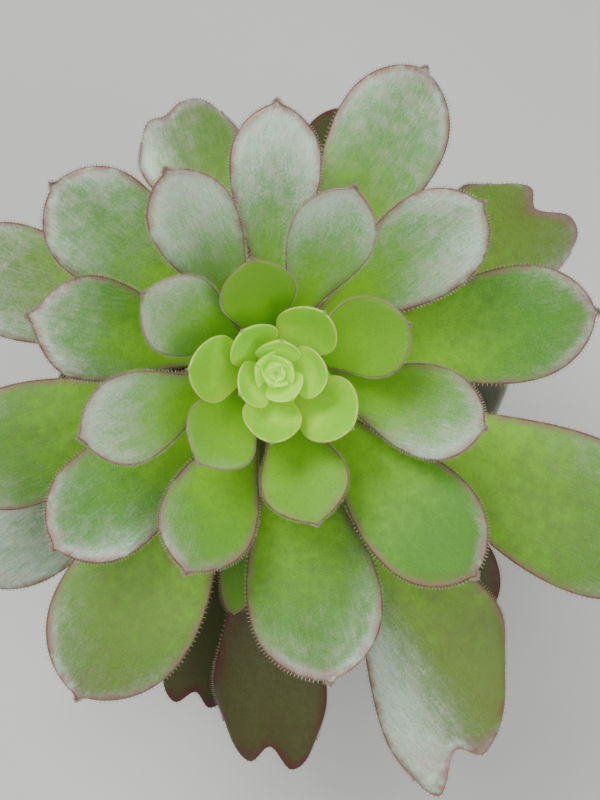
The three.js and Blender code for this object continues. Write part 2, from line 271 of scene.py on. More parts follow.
POT_RIM = 0.150
POT_BASE = 0.108
POT_HEIGHT = 0.130
POT_WALL = 0.0018
POT_FLOOR = 0.003
POT_CORNER = 0.011
COLLAR_DEPTH = 0.030
COLLAR_STEP = 0.0022
# Sections as a height and a growth beyond the plain taper: the foot's rounded edge, and the collar's
# step with heights from the collar's own foot.
FOOT_EDGE = ((0.0, -0.0014), (0.0004, -0.0006), (0.0014, 0.0))
COLLAR_EDGE = ((-0.0006, 0.0), (0.0004, 0.0003), (0.0016, COLLAR_STEP - 0.0003), (0.0026, COLLAR_STEP))
COLLAR_INSIDE_RISE = 0.0012
FILLET_WIDE = 0.0016
FILLET_HIGH = 0.002
CORNER_STEPS = 12
LIP_STEPS = 8
POT_SHARP_ANGLE = 40
DRAIN_RADIUS = 0.005
DRAIN_OFFSET = 0.030
DRAIN_SIDES = 28


def square_ring(half, z, corner):
    """A square of half width half with round corners, level at height z, counter-clockwise."""
    ring = []
    for side in range(4):
        turn = (side + 0.5) * math.pi / 2
        reach = (half - corner) * math.sqrt(2)
        for step in range(CORNER_STEPS + 1):
            angle = (side + step / CORNER_STEPS) * math.pi / 2
            ring.append((
                reach * math.cos(turn) + corner * math.cos(angle),
                reach * math.sin(turn) + corner * math.sin(angle),
                z,
            ))
    return ring


def pot_half(z):
    """Half the outer width at height z, without the collar's step."""
    return (POT_BASE + (POT_RIM - 2 * COLLAR_STEP - POT_BASE) * z / POT_HEIGHT) / 2


def loft_mesh(name, rings):
    """A skin of quads over a stack of rings with as many points each, closed by flat ends."""
    count = len(rings[0])
    faces = [
        (j * count + i, j * count + (i + 1) % count, (j + 1) * count + (i + 1) % count, (j + 1) * count + i)
        for j in range(len(rings) - 1) for i in range(count)
    ]
    faces.append(tuple(reversed(range(count))))
    faces.append(tuple(range((len(rings) - 1) * count, len(rings) * count)))
    mesh = bpy.data.meshes.new(name)
    mesh.from_pydata([point for ring in rings for point in ring], [], faces)
    return mesh


def shade_by_angle(mesh, limit):
    """Smooth shading, broken where two faces meet at more than the limit in degrees."""
    work = bmesh.new()
    work.from_mesh(mesh)
    bmesh.ops.recalc_face_normals(work, faces=work.faces)
    for face in work.faces:
        face.smooth = True
    for edge in work.edges:
        edge.smooth = len(edge.link_faces) == 2 and edge.calc_face_angle(0) < math.radians(limit)
    work.to_mesh(mesh)
    work.free()


def settled_mesh(piece):
    """The piece's mesh with its modifiers worked in, as a plain mesh."""
    bpy.context.view_layer.update()
    mesh = bpy.data.meshes.new_from_object(piece.evaluated_get(bpy.context.evaluated_depsgraph_get()))
    piece.modifiers.clear()
    return mesh


def cut_away(piece, name, cutter):
    """Take another piece's form out of a piece."""
    cut = piece.modifiers.new(name, "BOOLEAN")
    cut.operation = "DIFFERENCE"
    cut.solver = "EXACT"
    cut.object = cutter
    piece.data = settled_mesh(piece)


def mark_points(mesh, name, values):
    """A number for each point of a mesh, which materials and node trees read by its name."""
    mark = mesh.attributes.new(name, "FLOAT", "POINT")
    mark.data.foreach_set("value", np.asarray(values, dtype=np.float32))


collar_foot = POT_HEIGHT - COLLAR_DEPTH
lip_round = POT_WALL / 2
lip_middle = POT_HEIGHT - lip_round
inner_corner = POT_CORNER - POT_WALL
upper_sections = [*((collar_foot + z, grow) for z, grow in COLLAR_EDGE), (lip_middle, COLLAR_STEP)]
pot_rings = [square_ring(pot_half(z) + grow, z, POT_CORNER + min(grow, 0))
             for z, grow in (*FOOT_EDGE, *upper_sections)]
for step in range(1, LIP_STEPS):
    roll = math.pi * step / LIP_STEPS
    inward = lip_round * (1 - math.cos(roll))
    half = pot_half(POT_HEIGHT) + COLLAR_STEP - inward
    pot_rings.append(square_ring(half, lip_middle + lip_round * math.sin(roll), POT_CORNER - inward))
for z, grow in reversed(upper_sections):
    rise = 0 if z == lip_middle else COLLAR_INSIDE_RISE
    pot_rings.append(square_ring(pot_half(z) + grow - POT_WALL, z + rise, inner_corner))
floor_half = pot_half(POT_FLOOR) - POT_WALL
pot_rings.append(square_ring(floor_half, POT_FLOOR + FILLET_HIGH, inner_corner))
pot_rings.append(square_ring(floor_half - FILLET_WIDE, POT_FLOOR, inner_corner - FILLET_WIDE))
pot = new_piece("pot_shell", loft_mesh("pot_shell", pot_rings))
drill_mesh = bpy.data.meshes.new("drain_drill")
drill_work = bmesh.new()
for drain_x, drain_y in ((1, 1), (-1, 1), (-1, -1), (1, -1)):
    drain_place = Matrix.Translation((drain_x * DRAIN_OFFSET, drain_y * DRAIN_OFFSET, 0))
    bmesh.ops.create_cone(drill_work, cap_ends=True, segments=DRAIN_SIDES, radius1=DRAIN_RADIUS,
                          radius2=DRAIN_RADIUS, depth=4 * POT_FLOOR, matrix=drain_place)
drill_work.to_mesh(drill_mesh)
drill_work.free()
drill = new_piece("drain_drill", drill_mesh)
cut_away(pot, "drains", drill)
bpy.data.objects.remove(drill)
shade_by_angle(pot.data, POT_SHARP_ANGLE)

PLASTIC = (0.76, 0.755, 0.72)
PLASTIC_AGED = (0.64, 0.63, 0.57)
PLASTIC_SCUFFED = (0.72, 0.71, 0.68)
SOIL_DUST = (0.115, 0.085, 0.055)
# The olive of painted shade on the upper inside wall, tinted by the green light of the leaves.
INNER_WALL_SHADE = (0.20, 0.19, 0.10)
# Heights on the inside: none of it above the first, all of it below the second.
TIDE_BAND = (0.118, 0.103)
TIDE_RAGGED = 0.012
SPLASH_BAND = (0.128, 0.100)
INNER_SHADE_BAND = (0.1285, 0.116)
INSIDE_FROM = 0.002

plastic = Finish("pot_plastic", {"IOR": 1.5, "Subsurface Weight": 0.08, "Subsurface Scale": 0.001})
plastic_height = plastic.node("ShaderNodeSeparateXYZ", {}, {"Vector": plastic.place}, out="Z")
# Lime and peat rise and dry in a ragged band above the soil; splashes reach higher in specks.
tide = (plastic_height + plastic.noise(plastic.place, scale=55, detail=4) * TIDE_RAGGED).step(*TIDE_BAND)
specks = plastic.noise(plastic.place, scale=700, detail=2)
splash = specks.step(0.62, 0.72) * plastic_height.step(*SPLASH_BAND)
scuff_place = plastic.stretch(plastic.place, 1, 1, 0.25)
plastic_scuffs = plastic.noise(scuff_place, scale=240, detail=3).step(0.56, 0.75)
plastic_clouds = plastic.noise(plastic.place, scale=28, detail=3)
plastic_colour = plastic.tint(plastic_clouds * 0.5, PLASTIC, PLASTIC_AGED)
plastic_colour = plastic.tint(plastic_scuffs * 0.12, plastic_colour, PLASTIC_SCUFFED)
inside_pot = plastic.read("inside")
# Painted shade, in patches, over the inside wall from just under the lip down to the soil.
shade_patches = plastic.noise(plastic.place, scale=70, detail=3)
inner_shade = inside_pot * plastic_height.step(*INNER_SHADE_BAND) * (0.5 + shade_patches * 0.5)
plastic_colour = plastic.tint(inner_shade * 0.75, plastic_colour, INNER_WALL_SHADE)
plastic_colour = plastic.tint(tide * inside_pot * 0.75, plastic_colour, SOIL_DUST)
plastic_colour = plastic.tint(splash * inside_pot * 0.8, plastic_colour, SOIL_DUST)
plastic.feed("Base Color", plastic_colour)
plastic.feed("Roughness", 0.38 + plastic_scuffs * 0.22 + tide * inside_pot * 0.3)
plastic.relief(plastic.noise(plastic.place, scale=900, detail=2) * 0.02 + plastic_scuffs * 0.012)
pot.data.materials.append(plastic.material)
# A point is inside the pot where it lies deeper in the rounded square than the wall's middle.
pot_points = np.array([vertex.co for vertex in pot.data.vertices])
pot_halves = np.array([pot_half(z) + (COLLAR_STEP if z > collar_foot else 0) for z in pot_points[:, 2]])
beyond_round = np.maximum(np.abs(pot_points[:, :2]) - (pot_halves - POT_CORNER)[:, None], 0)
wall_depth = POT_CORNER - np.hypot(beyond_round[:, 0], beyond_round[:, 1])
mark_points(pot.data, "inside", (wall_depth > lip_round) & (pot_points[:, 2] > INSIDE_FROM))
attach(pot, "root")
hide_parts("pot")

# ---------------------------------------------------------------- stem
# A short woody stem with a grey-brown rind. Every leaf that has dropped has left a raised,
# lens-shaped scar on it, in the same spiral as the leaves that are still there.

LEAN = math.radians(28.9)
LEAN_TO = math.radians(-57.5)
STEM_RADIUS = {"top": 0.0105, "neck": 0.0088, "foot": 0.010}
STEM_STRAIGHT = 0.080
STEM_FOOT = Vector((-0.016, 0.012, 0.062))
STRAIGHT_STEPS = 200
BEND_STEPS = 400
STEM_SIDES = 108
STEM_STEPS = 260
STEM_AHEAD = 0.004
# The spiral of the leaves: the turn from each to the next, where it starts, and where on the stem the
# first open leaf and each next one stand.
DIVERGENCE = 137.5
FIRST_AZIMUTH = 46.6
FIRST_OPEN = 11
CROWN_START = 0.017
CROWN_PITCH = 0.002
STEM_TOP = CROWN_START - 0.001
# Scars: the leaves that have dropped, then a lens bent like a bow, its steep side and its sunk middle.
SCARS_FROM = 45
SCARS_TO = 100
SCAR_WIDE = 0.0040
SCAR_HIGH = 0.0019
SCAR_STANDS = 0.0007
SCAR_BOW = 0.25
SCAR_REACH = 1.15
SCAR_STEEP = 2.2
SCAR_SUNK_TO = 0.75
SCAR_SUNK = 0.55
# Ripples of the rind: strength, times round the stem, turns along it and start.
RIPPLES = ((0.35, 9, 23, 0), (0.25, 17, -41, 1))
RIPPLE_HIGH = 0.00025
RIND_DEPTH = 0.0003
RIND_SHARP_ANGLE = 60

AXIS = Vector((math.sin(LEAN) * math.cos(LEAN_TO), math.sin(LEAN) * math.sin(LEAN_TO), math.cos(LEAN)))
ROSETTE_X = (Vector((1, 0, 0)) - AXIS * AXIS.x).normalized()
ROSETTE_Y = AXIS.cross(ROSETTE_X)
DOWNHILL = math.atan2(-ROSETTE_Y.z, -ROSETTE_X.z)

neck_point = ROSETTE_MIDDLE - AXIS * STEM_STRAIGHT
bend = (neck_point.z - STEM_FOOT.z) / 2
bend_handles = (neck_point, neck_point - AXIS * bend, STEM_FOOT + Vector((0, 0, bend)), STEM_FOOT)
stem_line = [ROSETTE_MIDDLE - AXIS * (STEM_TOP + (STEM_STRAIGHT - STEM_TOP) * k / STRAIGHT_STEPS)
             for k in range(STRAIGHT_STEPS)]
for k in range(BEND_STEPS + 1):
    t = k / BEND_STEPS
    shares = ((1 - t) ** 3, 3 * t * (1 - t) ** 2, 3 * t * t * (1 - t), t ** 3)
    stem_line.append(sum((handle * share for handle, share in zip(bend_handles, shares)), Vector()))
stem_line = np.array(stem_line)
stem_run = np.concatenate([[0], np.cumsum(np.linalg.norm(np.diff(stem_line, axis=0), axis=1))])
STEM_LENGTH = stem_run[-1]


def stem_point(share):
    """The middle of the stem at a share of its length, from the top down."""
    return Vector([np.interp(share * STEM_LENGTH, stem_run, stem_line[:, axis]) for axis in range(3)])


def stem_radius(share):
    return (STEM_RADIUS["top"] + (STEM_RADIUS["foot"] - STEM_RADIUS["top"]) * share
            - (STEM_RADIUS["top"] - STEM_RADIUS["neck"]) * math.sin(math.pi * share))


def around(count, start=0):
    """Angles spread evenly round a circle, the first one so many steps on."""
    return (np.arange(count) + start) / count * 2 * math.pi


scar_places = []
for number in range(SCARS_FROM, SCARS_TO):
    scar_depth = CROWN_START + CROWN_PITCH * (number - FIRST_OPEN) - STEM_TOP
    if scar_depth < STEM_LENGTH:
        scar_places.append((math.radians(FIRST_AZIMUTH + DIVERGENCE * number), scar_depth))
scar_azimuths = np.array([place[0] for place in scar_places])
scar_depths = np.array([place[1] for place in scar_places])
stem_angles = around(STEM_SIDES)
stem_rings = []
stem_scars = []
for k in range(STEM_STEPS + 1):
    share = k / STEM_STEPS
    middle = stem_point(share)
    along = (stem_point(min(1, share + STEM_AHEAD)) - stem_point(max(0, share - STEM_AHEAD))).normalized()
    front = (ROSETTE_X - along * along.dot(ROSETTE_X)).normalized()
    side = front.cross(along)
    radius = stem_radius(share)
    turned = stem_angles[:, None] - scar_azimuths[None, :]
    wide = np.arctan2(np.sin(turned), np.cos(turned)) * radius / SCAR_WIDE
    high = (share * STEM_LENGTH - scar_depths)[None, :] / SCAR_HIGH
    off = np.sqrt(wide ** 2 + (high + SCAR_BOW * wide ** 2) ** 2)
    boss = np.minimum(1, SCAR_STEEP * np.clip(SCAR_REACH - off, 0, 1))
    scar = (boss - SCAR_SUNK * np.clip(SCAR_SUNK_TO - off, 0, 1)).max(axis=1)
    grain = sum(strength * np.sin(rounds * stem_angles + turns * share + start)
                for strength, rounds, turns, start in RIPPLES)
    reach = radius - RIND_DEPTH + SCAR_STANDS * scar + RIPPLE_HIGH * grain * (1 - np.clip(scar, 0, 1))
    stem_scars.append(scar)
    stem_rings.append([tuple(middle + front * (r * math.cos(a)) - side * (r * math.sin(a)))
                       for r, a in zip(reach, stem_angles)])
stem = new_piece("stem_rind", loft_mesh("stem_rind", stem_rings))
mark_points(stem.data, "scar", np.concatenate(stem_scars))
shade_by_angle(stem.data, RIND_SHARP_ANGLE)

RIND = (0.17, 0.12, 0.078)
RIND_DARK = (0.05, 0.034, 0.022)
RIND_GREY = (0.34, 0.29, 0.22)
SCAR_PALE = (0.46, 0.37, 0.25)
rind = Finish("stem_rind", {})
rind_along = rind.stretch(rind.place, 1, 1, 0.22)
rind_cracks = rind.noise(rind_along, scale=620, detail=5, roughness=0.65).step(0.44, 0.33)
rind_colour = rind.tint(rind.noise(rind.place, scale=120, detail=4), RIND, RIND_GREY)
rind_colour = rind.tint(rind_cracks * 0.85, rind_colour, RIND_DARK)
rind_scar = rind.read("scar").step(0.25, 0.9)
rind_worn = 0.35 + rind.noise(rind.place, scale=300, detail=3) * 0.6
rind_colour = rind.tint(rind_scar * rind_worn, rind_colour, SCAR_PALE)
rind.feed("Base Color", rind_colour)
rind.feed("Roughness", 0.72 + rind_cracks * 0.2)
rind_fibres = rind.noise(rind_along, scale=500, detail=5, roughness=0.6)
rind_grain = rind.noise(rind.place, scale=1600, detail=3)
rind.relief(rind_fibres * 0.5 - rind_cracks * 0.35 + rind_grain * 0.12)
stem.data.materials.append(rind.material)
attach(stem, "root")
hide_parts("stem")

# ---------------------------------------------------------------- soil
# A free-draining potting mix pressed in by hand: composted bark with bigger chips and grit lying
# loose on top, and a few white grains of expanded volcanic glass.

SOIL_LEVEL = 0.099
SOIL_GAP = 0.0003
SOIL_SPOKES = 160
SOIL_SIDE_RINGS = 3
SOIL_RINGS = 60
SOIL_SHARP_ANGLE = 60
# The side ends this far under the level, so that the hollows of the top stay above it.
SOIL_SHOULDER = 0.0025
# The top swells and crumbles by these heights, in waves of these radians for each metre, and both are
# full within a third and an eighth of the way in from the wall. All of it is sunk a little.
SWELL_HIGH = 0.0032
SWELL_X, SWELL_Y = 110, 130
SWELL_SETS_IN = 3
CRUMB_HIGH = 0.0006
CRUMB_X, CRUMB_Y = (900, 800), (1100, 700)
CRUMBS_SET_IN = 8
SOIL_SUNK = 0.0012

soil_floor = POT_FLOOR + SOIL_GAP
soil_inset = POT_WALL + SOIL_GAP
soil_half = pot_half(SOIL_LEVEL) - soil_inset
soil_corner = (POT_CORNER - soil_inset) / soil_half
spokes = around(SOIL_SPOKES, start=0.5)
spoke_wide = np.maximum(np.abs(np.cos(spokes)), np.abs(np.sin(spokes)))
spoke_slant = np.abs(np.cos(spokes)) + np.abs(np.sin(spokes))
# Each spoke ends on a straight side of the square, or where it slants enough in a round corner.
round_middle = 1 - soil_corner
round_reach = np.maximum((round_middle * spoke_slant) ** 2 - 2 * round_middle ** 2 + soil_corner ** 2, 0)
spoke_reach = np.where(spoke_slant / spoke_wide - 1 > round_middle,
                       round_middle * spoke_slant + np.sqrt(round_reach), 1 / spoke_wide)
soil_rings = []
for k in range(SOIL_SIDE_RINGS):
    z = soil_floor + (SOIL_LEVEL - SOIL_SHOULDER - soil_floor) * k / (SOIL_SIDE_RINGS - 1)
    half = pot_half(z) - soil_inset
    soil_rings.append([(half * r * math.cos(a), half * r * math.sin(a), z)
                       for r, a in zip(spoke_reach, spokes)])
for k in range(SOIL_RINGS):
    share = 1 - k / SOIL_RINGS
    ring = []
    for r, a in zip(spoke_reach, spokes):
        x = soil_half * share * r * math.cos(a)
        y = soil_half * share * r * math.sin(a)
        swell = math.sin(SWELL_X * x + 1) * math.cos(SWELL_Y * y) + 1 - share
        crumbs = (math.sin(CRUMB_X[0] * x + 3 * math.sin(CRUMB_Y[1] * y))
                  + math.sin(CRUMB_Y[0] * y + 2 * math.sin(CRUMB_X[1] * x)))
        z = (SOIL_LEVEL + SWELL_HIGH * swell * min(1, SWELL_SETS_IN * (1 - share))
             + CRUMB_HIGH * crumbs * min(1, CRUMBS_SET_IN * (1 - share)))
        ring.append((x, y, z - SOIL_SUNK))
    soil_rings.append(ring)
soil = new_piece("soil_body", loft_mesh("soil_body", soil_rings))
shade_by_angle(soil.data, SOIL_SHARP_ANGLE)
cut_away(soil, "stem_pit", stem)

SOIL_BROWN = (0.050, 0.032, 0.020)
SOIL_BLACK = (0.014, 0.010, 0.008)
earth = Finish("soil_crumbs", {"Roughness": 0.95})
earth_crumb = earth.noise(earth.place, scale=520, detail=6, roughness=0.7)
earth.feed("Base Color", earth.tint(earth_crumb.step(0.35, 0.7), SOIL_BLACK, SOIL_BROWN))
earth.relief(earth_crumb * 1.6 + earth.noise(earth.place, scale=160, detail=3) * 1.2)
soil.data.materials.append(earth.material)

# Lumps, of so many kinds for each sort of grain: a ball one unit across, cut flat on some sides at
# random depths, then roughened.
LUMP_KINDS = 5
LUMP_SIDES = 7
LUMP_BANDS = 4
LUMP_CUTS = 9
LUMP_CUT_DEPTHS = (0.26, 0.44)
LUMP_ROUGH = 0.018
# A grain: how far it tilts, how much rarer big ones are, how much of the room to the wall it may take,
# and the least that any is across.
GRAIN_TILT = 0.5
GRAIN_RARITY = 2.2
GRAIN_ROOM = 1.6
GRAIN_LEAST = 0.0005
# Grains lie only where the soil's height times the upward share of its slope passes this.
GRAIN_GROUND = 0.8 * SOIL_LEVEL


def lump_mesh(name, seed, flat, material):
    """A rough lump, one unit across, flattened by a share."""
    dice = np.random.default_rng(seed)
    work = bmesh.new()
    bmesh.ops.create_uvsphere(work, u_segments=LUMP_SIDES, v_segments=LUMP_BANDS, radius=0.5)
    tilts = dice.normal(size=(LUMP_CUTS, 3))
    tilts /= np.linalg.norm(tilts, axis=1)[:, None]
    cuts = dice.uniform(*LUMP_CUT_DEPTHS, LUMP_CUTS)
    for vertex in work.verts:
        reach = np.array(vertex.co) @ tilts.T
        over = np.maximum(reach - cuts, 0)
        vertex.co -= Vector((over[:, None] * tilts).sum(axis=0))
        vertex.co += Vector(dice.normal(scale=LUMP_ROUGH, size=3))
        vertex.co.z *= flat
        vertex.co.y *= 0.5 + 0.5 * flat
    mesh = bpy.data.meshes.new(name)
    work.to_mesh(mesh)
    work.free()
    mesh.materials.append(material)
    return mesh


def grain_finish(name, dark, middle, pale, rough):
    """Grains in a run of colours, each grain's own by its shade, with fibres along them."""
    grain = Finish(name, {"Roughness": rough})
    shade = grain.node("ShaderNodeValToRGB", {"stops": [(0.0, dark), (0.55, middle), (1.0, pale)]},
                       {"Fac": grain.read("shade")})
    fibres = grain.noise(grain.stretch(grain.place, 1, 3.5, 1), scale=420, detail=4, roughness=0.6)
    grain.feed("Base Color", grain.tint(fibres.step(0.4, 0.75) * 0.55, shade, dark))
    grain.relief(fibres * 0.5)
    return grain.material


chip_finish = grain_finish("bark_chips", dark=(0.022, 0.013, 0.008), middle=(0.105, 0.058, 0.030),
                           pale=(0.33, 0.21, 0.11), rough=0.85)
grit_finish = grain_finish("dark_grit", dark=(0.012, 0.010, 0.009), middle=(0.055, 0.045, 0.036),
                           pale=(0.17, 0.15, 0.12), rough=0.8)
glass_finish = grain_finish("white_grains", dark=(0.55, 0.54, 0.50), middle=(0.70, 0.69, 0.66),
                            pale=(0.80, 0.80, 0.77), rough=0.7)


def random_number(bench, low, high, seed):
    """A number for each point, drawn between two others. The node's first sockets are for vectors."""
    return bench.node("FunctionNodeRandomValue", {"data_type": "FLOAT"},
                      {2: low, 3: high, "Seed": seed}, out=1)


def random_vector(bench, low, high, seed):
    """A vector for each point, drawn between two others."""
    return bench.node("FunctionNodeRandomValue", {"data_type": "FLOAT_VECTOR"},
                      {0: low, 1: high, "Seed": seed})


def new_tree(name, inputs, output):
    """A Geometry Nodes tree with named inputs, each of a kind, and one output."""
    tree = bpy.data.node_groups.new(name, "GeometryNodeTree")
    for socket, kind in inputs.items():
        tree.interface.new_socket(socket, in_out="INPUT", socket_type="NodeSocket" + kind)
    tree.interface.new_socket(output, in_out="OUTPUT", socket_type="NodeSocketGeometry")
    return tree


def made_by(tree, piece, inputs):
    """The mesh that a tree makes of a piece. A modifier knows its inputs by their identifiers."""
    modifier = piece.modifiers.new(tree.name, "NODES")
    modifier.node_group = tree
    for item in tree.interface.items_tree:
        if item.in_out == "INPUT" and item.name in inputs:
            modifier[item.identifier] = inputs[item.name]
    return settled_mesh(piece)


def scatter_tree(name, lumps):
    """Lumps strewn over a surface, each turned and sized at random and half sunk in."""
    tree = new_tree(name, {"Surface": "Geometry", "Count": "Int", "Smallest": "Float",
                           "Largest": "Float", "Seed": "Int"}, "Grains")
    bench = Bench(tree)
    entry = bench.node("NodeGroupInput", {}, {})
    seed = entry.out("Seed")
    normal = bench.node("GeometryNodeInputNormal", {}, {})
    position = bench.node("GeometryNodeInputPosition", {}, {})
    up = bench.node("ShaderNodeSeparateXYZ", {}, {"Vector": normal}, out="Z")
    place = bench.node("ShaderNodeSeparateXYZ", {}, {"Vector": position})
    top = bench.node("FunctionNodeCompare", {"operation": "GREATER_THAN"},
                     {0: up * place.out("Z"), 1: GRAIN_GROUND})
    spread = bench.node("GeometryNodeSeparateGeometry", {"domain": "FACE"},
                        {"Geometry": entry.out("Surface"), "Selection": top})
    face_area = bench.node("GeometryNodeInputMeshFaceArea", {}, {})
    area = bench.node("GeometryNodeAttributeStatistic", {"domain": "FACE"},
                      {"Geometry": spread, "Attribute": face_area}, out="Sum")
    points = bench.node("GeometryNodeDistributePointsOnFaces", {},
                        {"Mesh": spread, "Density": entry.out("Count") / area, "Seed": seed})
    heap = bench.node("GeometryNodeCollectionInfo", {},
                      {"Collection": lumps, "Separate Children": True, "Reset Children": True})
    turn = random_vector(bench, (-GRAIN_TILT, -GRAIN_TILT, -math.pi), (GRAIN_TILT, GRAIN_TILT, math.pi),
                         seed + 1)
    size = random_number(bench, 0.0, 1.0, seed + 2) ** GRAIN_RARITY
    size = entry.out("Smallest") + (entry.out("Largest") - entry.out("Smallest")) * size
    # None is bigger than the room between it and the nearest wall.
    room = soil_half - place.out("X").math("ABSOLUTE").math("MAXIMUM", place.out("Y").math("ABSOLUTE"))
    size = size.math("MINIMUM", room * GRAIN_ROOM).math("MAXIMUM", GRAIN_LEAST)
    strewn = bench.node("GeometryNodeInstanceOnPoints", {}, {
        "Points": points, "Instance": heap, "Pick Instance": True, "Rotation": turn,
        "Scale": bench.joined(size, size, size)})
    shade = random_number(bench, 0.0, 1.0, seed + 3)
    marked = bench.node("GeometryNodeStoreNamedAttribute", {"data_type": "FLOAT", "domain": "INSTANCE"},
                        {"Geometry": strewn, "Name": "shade", "Value": shade})
    whole = bench.node("GeometryNodeRealizeInstances", {}, {"Geometry": marked})
    coat = lumps.objects[0].data.materials[0]
    finished = bench.node("GeometryNodeSetMaterial", {}, {"Geometry": whole, "Material": coat})
    bench.node("NodeGroupOutput", {}, {"Grains": finished})
    return tree


def strew(name, material, flat, count, smallest, largest, seed):
    """One piece of loose grains on the soil: how flat they are, about how many, and their sizes."""
    lumps = bpy.data.collections.new(name + "_kinds")
    for kind in range(LUMP_KINDS):
        kind_name = f"{name}_kind_{kind}"
        lump = lump_mesh(kind_name, seed + kind, flat, material)
        lumps.objects.link(bpy.data.objects.new(kind_name, lump))
    grains = new_piece(name, soil.data.copy())
    grains.data = made_by(scatter_tree(name + "_strewn", lumps), grains, {
        "Count": count, "Smallest": smallest, "Largest": largest, "Seed": seed})
    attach(grains, "root")
    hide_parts("soil")
    for kind in list(lumps.objects):
        bpy.data.objects.remove(kind)
    bpy.data.collections.remove(lumps)


strew("bark_chips", chip_finish, flat=0.34, count=950, smallest=0.0025, largest=0.012, seed=11)
strew("dark_grit", grit_finish, flat=0.7, count=2600, smallest=0.0009, largest=0.0032, seed=23)
strew("white_grains", glass_finish, flat=0.85, count=90, smallest=0.0012, largest=0.0034, seed=37)
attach(soil, "root")
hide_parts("soil")

# ---------------------------------------------------------------- leaves
# Fleshy spoon-shaped leaves, each grown straight out of the stem, 137.5 degrees round from the one
# before. Their skin is finely grained, shines like satin and silvers towards the tip, the silver partly
# a waxy bloom and partly a painted sheen; a thin coloured line and a fringe of short stiff hairs run
# round the margin.

# Outlines as shares of a leaf's length or half width: a bud leaf is broad from its base, a grown
# leaf is a spoon, and a notched one stays broad to its end. All others draw out into a small cusp.
BUD = {"neck": 0.5, "widest": 0.56, "spoon": 1.3}
SPOON = {"neck": 0.26, "widest": 0.74, "spoon": 3.3}
BUD_LAST = 4
SPOON_FIRST = 16
OUTLINE_LEAST = 0.012
TIP_FULLNESS = 2.3
BLUNT_TAPER = 0.2
NOTCHED_FROM = 0.6
NOTCHED_WIDEST = 0.86
NOTCHED_ROUNDING = 0.1
NOTCH_WIDE = 0.5
NOTCH_LEAST = 0.001
CUSP_FROM = 0.955
CUSP_WIDE = 0.10
CUSP_SLOPE = 1.7
# Its form: how it is hollowed, grooved, waved and bent down, as shares of its length or half width,
# and how thick it is.
ROOT_SUNK = 0.05
LANES_CROWD = 0.9
SLOPE_STEP = 0.01
CHANNEL = 0.3
CHANNEL_TO = 0.4
GROOVE_WIDE = 0.13
GROOVE_BETWEEN = (1, 0.55)
EDGE_TUCK = 0.05
WAVE_TURNS = 9
WAVE_SLANT = 1.3
WAVES_BETWEEN = (0.15, 0.6)
FALL_FROM = 0.6
MIDDLE_THICK = 0.0022
TIP_THICK = 0.0013
EDGE_THINNING = 0.75
EDGE_THICK = 0.0007
RIM_ROUND = 0.45 * EDGE_THICK
# Hairs: their length, its spread, their spacing, how far they stray, how far along the leaf they begin
# and the seeds of what is random in them.
HAIR_LENGTH = 0.00125
HAIR_LENGTHS = (0.65, 1.1)
HAIR_SPACING = 0.0013
HAIR_RADIUS = 0.00012
HAIR_STRAY = 0.35
HAIRS_FROM = 0.16
STRAY_SEED = 40
REACH_SEED = 140
# The skin's patterns run in millimetres, each leaf's far from the next one's.
PER_METRE = 1000
SKIN_APART = 31
LEAF_SIZES = ("Number", "Length", "Width", "Neck", "Widest", "Spoon", "Rise", "Droop", "Cupping", "Point",
              "Notch", "Notch side", "Lobe skew", "Sway", "Wave", "Phase", "Tip fall", "Groove", "Hair",
              "Neck thick", "Silver from", "Silver side", "Age")


def leaf_blank(name, stations, lanes):
    """A flat closed blank: an upper and a lower sheet with a rounded rim between them. It carries
    how far along and across the leaf each point lies, and how deep below the upper face."""
    straight = np.linspace(-ROOT_SUNK, BUD["widest"], 2 * stations // 5, endpoint=False)
    ending = np.sin(np.linspace(0, 1, stations - len(straight)) * math.pi / 2)
    along = np.concatenate([straight, BUD["widest"] + (1 - BUD["widest"]) * ending])
    across = np.sin(np.linspace(-LANES_CROWD, LANES_CROWD, lanes) * math.pi / 2)
    across /= math.sin(LANES_CROWD * math.pi / 2)
    grid_t, grid_u = [g.ravel() for g in np.meshgrid(along, across, indexing="ij")]
    count = stations * lanes
    border = [*range(0, count, lanes), *range(count - lanes + 1, count),
              *range(count - lanes - 1, lanes - 2, -lanes), *range(lanes - 2, 0, -1)]
    faces = []
    for j in range(stations - 1):
        for i in range(lanes - 1):
            a = j * lanes + i
            faces.append((a, a + lanes, a + lanes + 1, a + 1))
            faces.append((count + a, count + a + 1, count + a + lanes + 1, count + a + lanes))
    ring = 2 * count
    for k, here in enumerate(border):
        k_after = (k + 1) % len(border)
        after = border[k_after]
        faces.append((here, ring + k, ring + k_after, after))
        faces.append((ring + k, count + here, count + after, ring + k_after))
    t = np.concatenate([grid_t, grid_t, grid_t[border]])
    u = np.concatenate([grid_u, grid_u, grid_u[border]])
    depth = np.concatenate([np.zeros(count), np.ones(count), np.full(len(border), 0.5)])
    fringe = np.concatenate([np.zeros(2 * count), np.ones(len(border))])
    mesh = bpy.data.meshes.new(name)
    mesh.from_pydata(np.stack([t, u, -depth], axis=1).tolist(), [], faces)
    for mark, values in (("along", t), ("across", u), ("depth", depth), ("fringe", fringe)):
        mark_points(mesh, mark, values)
    return mesh


